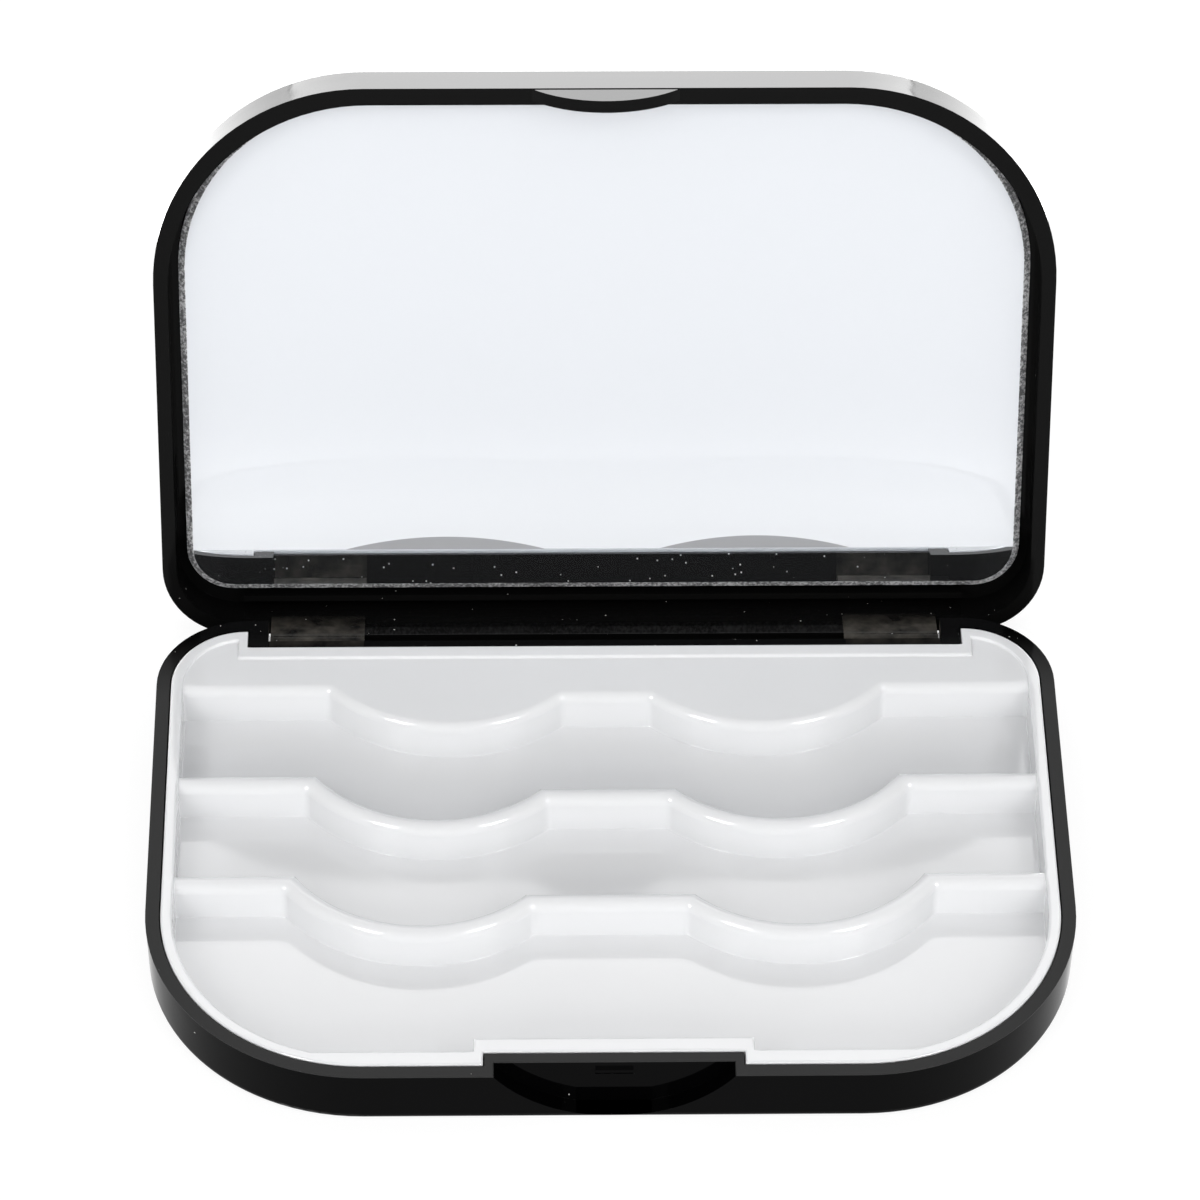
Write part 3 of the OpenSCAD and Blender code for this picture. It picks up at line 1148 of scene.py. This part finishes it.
        up = tree.nodes.new("ShaderNodeCombineXYZ")
        tree.links.new(height.socket, up.inputs["Z"])
        lifted = node("GeometryNodeSetPosition", start.outputs["Geometry"])
        tree.links.new(up.outputs[0], lifted.inputs["Offset"])
        sides = node("GeometryNodeExtrudeMesh", lifted.outputs[0])
        sides.mode = "EDGES"
        neighbours = tree.nodes.new("GeometryNodeInputMeshEdgeNeighbors")
        border = Value(tree, neighbours.outputs["Face Count"]) < BORDER_FACES
        tree.links.new(border.socket, sides.inputs["Selection"])
        sides.inputs["Offset Scale"].default_value = 0.0
        low = node("GeometryNodeSetPosition", sides.outputs["Mesh"])
        tree.links.new(sides.outputs["Top"], low.inputs["Selection"])
        place = tree.nodes.new("GeometryNodeInputPosition")
        parts = tree.nodes.new("ShaderNodeSeparateXYZ")
        tree.links.new(place.outputs[0], parts.inputs[0])
        flat = tree.nodes.new("ShaderNodeCombineXYZ")
        tree.links.new(parts.outputs["X"], flat.inputs["X"])
        tree.links.new(parts.outputs["Y"], flat.inputs["Y"])
        tree.links.new(given["Under"].socket, flat.inputs["Z"])
        tree.links.new(flat.outputs[0], low.inputs["Position"])
        smooth = node("GeometryNodeSetShadeSmooth", low.outputs[0])
        real = node("GeometryNodeRealizeInstances", smooth.outputs[0])
        painted = node("GeometryNodeSetMaterial", real.outputs[0])
        painted.inputs["Material"].default_value = material
        end = tree.nodes.new("NodeGroupOutput")
        tree.links.new(painted.outputs[0], end.inputs[0])
        modifier = made.modifiers.new("heights", "NODES")
        modifier.node_group = tree
        for name, size in sizes.items():
            modifier[keys[name]] = size * MM


def dress(made: bpy.types.Object, body: str, slot: str, nodes: Sequence[str],
          *materials: bpy.types.Material) -> None:
    """Gives a new piece its body and materials, and hides the nodes that it stands for.

    Args:
        made: The piece.
        body: CAD body that it rides on.
        slot: Not used.
        nodes: CAD nodes that it replaces.
        materials: Its materials in slot order.
    """
    made.data.materials.clear()
    for material in materials:
        made.data.materials.append(material)
    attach(made, body)
    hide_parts(*nodes)
    log.info("%s: %d faces, on %s", made.name, len(made.data.polygons), body)


@dataclass
class Base:
    """The base: black shell, white tray and the two pins."""

    paints: Paints
    shell_edges: SoftEdges = field(default_factory=SoftEdges)
    tray: TraySurface = field(default_factory=TraySurface)

    def build(self) -> None:
        """Builds and dresses the base's pieces."""
        shell = self.shell_edges.apply("base_shell", "base_shell_moulding")
        dress(shell, "base", "case_plastic", ["base_shell"], self.paints.get(Finish.BASE))
        white = self.paints.get(Finish.WHITE)
        tray = self.tray.build("lash_tray_moulding", white)
        dress(tray, "base", "tray_plastic", ["lash_tray"], white)
        for pin in ("hinge_pin_left", "hinge_pin_right"):
            paint_node(pin, self.paints.get(Finish.STEEL))


@dataclass
class Lid:
    """The lid, which leans back from upright: black shell, mirror and the tape behind it."""

    paints: Paints
    lean: float = 17.0
    facing_from: float = 0.999
    shell_edges: SoftEdges = field(default_factory=SoftEdges)
    mirror_edges: SoftEdges = field(default_factory=lambda: SoftEdges(
        radius=0.03 * MM, segments=1, sharp_from=20.0, smooth_to=15.0))

    def build(self) -> None:
        """Builds and dresses the lid's pieces."""
        shell = self.shell_edges.apply("lid_shell", "lid_shell_moulding")
        dress(shell, "lid", "case_plastic", ["lid_shell"], self.paints.get(Finish.LID))
        mirror = self.mirror_edges.apply("mirror_glass", "mirror_plate")
        dress(mirror, "lid", "mirror", ["mirror_glass"], self.paints.get(Finish.MIRROR),
              self.paints.get(Finish.GROUND))
        turn = math.radians(90.0 + self.lean)
        facing = Vector((0.0, -math.sin(turn), -math.cos(turn)))
        for face in mirror.data.polygons:
            face.material_index = 0 if face.normal.dot(facing) > self.facing_from else 1
        for tape in ("mirror_tape_front", "mirror_tape_back"):
            paint_node(tape, self.paints.get(Finish.FOAM))


def paint_node(node: str, material: bpy.types.Material) -> None:
    """Gives a CAD node that stays its material.

    Args:
        node: The node.
        material: The material.
    """
    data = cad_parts[node].data
    data.materials.clear()
    data.materials.append(material)
    log.info("%s keeps its shape", node)


# Stage, light and camera

@dataclass
class Softbox:
    """A rectangular studio lamp that looks at a point and that the camera doesn't see.

    Attributes:
        mirrored: True if it shows in reflections.
        lights: True if it lights matt surfaces.
    """

    name: str
    place: Point
    width: float
    height: float
    radiance: float
    target: Point = (0.0, 0.0, 0.0)
    mirrored: bool = True
    lights: bool = True

    def build(self) -> None:
        """Adds the lamp."""
        data = bpy.data.lights.new(self.name, "AREA")
        data.shape = "RECTANGLE"
        data.size = self.width
        data.size_y = self.height
        data.energy = self.radiance * math.pi * self.width * self.height
        lamp = bpy.data.objects.new(self.name, data)
        lamp.visible_camera = False
        lamp.visible_glossy = self.mirrored
        lamp.visible_diffuse = self.lights
        bpy.context.scene.collection.objects.link(lamp)
        lamp.location = self.place
        aim = Vector(self.target) - Vector(self.place)
        lamp.rotation_euler = aim.to_track_quat("-Z", "Y").to_euler()


def seen(tree: bpy.types.NodeTree) -> Value:
    """1 for rays from the camera, from reflections and through glass, else 0."""
    path = tree.nodes.new("ShaderNodeLightPath")
    camera, glossy, through = (Value(tree, path.outputs[f"Is {kind} Ray"])
                               for kind in ("Camera", "Glossy", "Transmission"))
    return camera.at_least(glossy).at_least(through)


@dataclass
class Studio:
    """Pale floor, white surroundings and the lamps."""

    floor_size: float = 6.0
    floor_drop: float = 0.02 * MM
    floor_tone: float = 0.8
    floor_rough: float = 0.9
    floor_glow: float = 0.85
    floor_shaded: float = 0.22
    sky: float = 0.56
    lamps: list[Softbox] = field(default_factory=lambda: [
        Softbox("back_top", (0.0, 1.0, 1.0), 1.1, 0.5, 2.2),
        Softbox("back_strip", (0.0, 1.1, 0.14), 2.4, 0.26, 8.6, target=(0.0, 0.1, 0.08)),
        Softbox("back_floor", (0.0, 0.6, 0.006), 2.2, 0.98, 4.4, target=(0.0, 0.6, 1.0)),
        Softbox("front_fill", (0.0, -1.25, 0.52), 2.0, 0.64, 2.7, mirrored=False),
        Softbox("left_key", (-0.6, -0.75, 1.0), 0.3, 0.58, 5.2),
        Softbox("right_key", (0.6, -0.75, 1.0), 0.3, 0.58, 5.2),
        Softbox("left_glint", (-0.62, -0.82, 0.84), 0.3, 0.22, 24.0, lights=False),
        Softbox("right_glint", (0.62, -0.82, 0.84), 0.3, 0.22, 24.0, lights=False),
    ])

    def build(self) -> None:
        """Builds the stage."""
        self.floor()
        self.world()
        for lamp in self.lamps:
            lamp.build()
        bpy.context.scene.view_settings.view_transform = "Standard"

    def floor(self) -> None:
        """Adds the floor, white to the camera with a faint shadow."""
        shader = Shader("pale_floor")
        shader.set(Base_Color=(self.floor_tone,) * 3, Roughness=self.floor_rough,
                   Specular_IOR_Level=0.0)
        glow = shader.node("ShaderNodeEmission", Color=(1.0, 1.0, 1.0), Strength=self.floor_glow)
        dim = shader.node("ShaderNodeBsdfDiffuse", Color=(self.floor_shaded,) * 3)
        both = shader.node("ShaderNodeAddShader")
        shader.feed(both.inputs[0], glow.outputs[0])
        shader.feed(both.inputs[1], dim.outputs[0])
        pick = shader.node("ShaderNodeMixShader")
        shader.feed(pick.inputs[0], seen(shader.tree))
        shader.feed(pick.inputs[1], shader.surface.outputs[0])
        shader.feed(pick.inputs[2], both.outputs[0])
        shader.feed(shader.output.inputs["Surface"], pick.outputs[0])
        half = self.floor_size / 2
        corners = [(-half, -half, 0.0), (half, -half, 0.0), (half, half, 0.0), (-half, half, 0.0)]
        mesh = bpy.data.meshes.new("floor")
        mesh.from_pydata(corners, [], [(0, 1, 2, 3)])
        made = link(mesh, "floor")
        mesh.materials.append(shader.material)
        made.location.z = -self.floor_drop

    def world(self) -> None:
        """Sets surroundings that are white to the camera and dimmer as light."""
        world = bpy.data.worlds.new("surroundings")
        world.use_nodes = True
        bpy.context.scene.world = world
        tree = world.node_tree
        tree.nodes.clear()
        out = tree.nodes.new("ShaderNodeOutputWorld")
        back = tree.nodes.new("ShaderNodeBackground")
        tree.links.new(back.outputs[0], out.inputs[0])
        strength = self.sky + seen(tree) * (1.0 - self.sky)
        tree.links.new(strength.socket, back.inputs["Strength"])


@dataclass(frozen=True)
class View:
    """The camera that matches the photograph, with its angles in degrees."""

    place: Point = (-13.97 * MM, -518.13 * MM, 568.52 * MM)
    yaw: float = 1.373
    pitch: float = 44.979
    roll: float = 0.702
    focal_px: float = 6106.2
    image_px: float = 1200.0
    sensor: float = 36.0
    near: float = 0.01

    def build(self) -> None:
        """Adds the camera and makes it the scene's."""
        yaw, pitch, roll = (math.radians(a) for a in (self.yaw, self.pitch, self.roll))
        ahead = Vector((math.sin(yaw) * math.cos(pitch), math.cos(yaw) * math.cos(pitch),
                        -math.sin(pitch)))
        level = Vector((math.cos(yaw), -math.sin(yaw), 0.0))
        rise = level.cross(ahead)
        right = math.cos(roll) * level + math.sin(roll) * rise
        up = -math.sin(roll) * level + math.cos(roll) * rise
        data = bpy.data.cameras.new("camera")
        data.sensor_width = self.sensor
        data.lens = self.focal_px / self.image_px * self.sensor
        data.clip_start = self.near
        camera = bpy.data.objects.new("camera", data)
        bpy.context.scene.collection.objects.link(camera)
        turn = Matrix((right, up, -ahead)).transposed()
        camera.matrix_world = Matrix.Translation(self.place) @ turn.to_4x4()
        bpy.context.scene.camera = camera


def main() -> None:
    """Builds the scene."""
    logging.basicConfig(level=logging.INFO, format="%(name)s: %(message)s")
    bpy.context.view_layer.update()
    paints = Paints()
    Base(paints).build()
    Lid(paints).build()
    Studio().build()
    View().build()


if __name__ == "__main__":
    main()
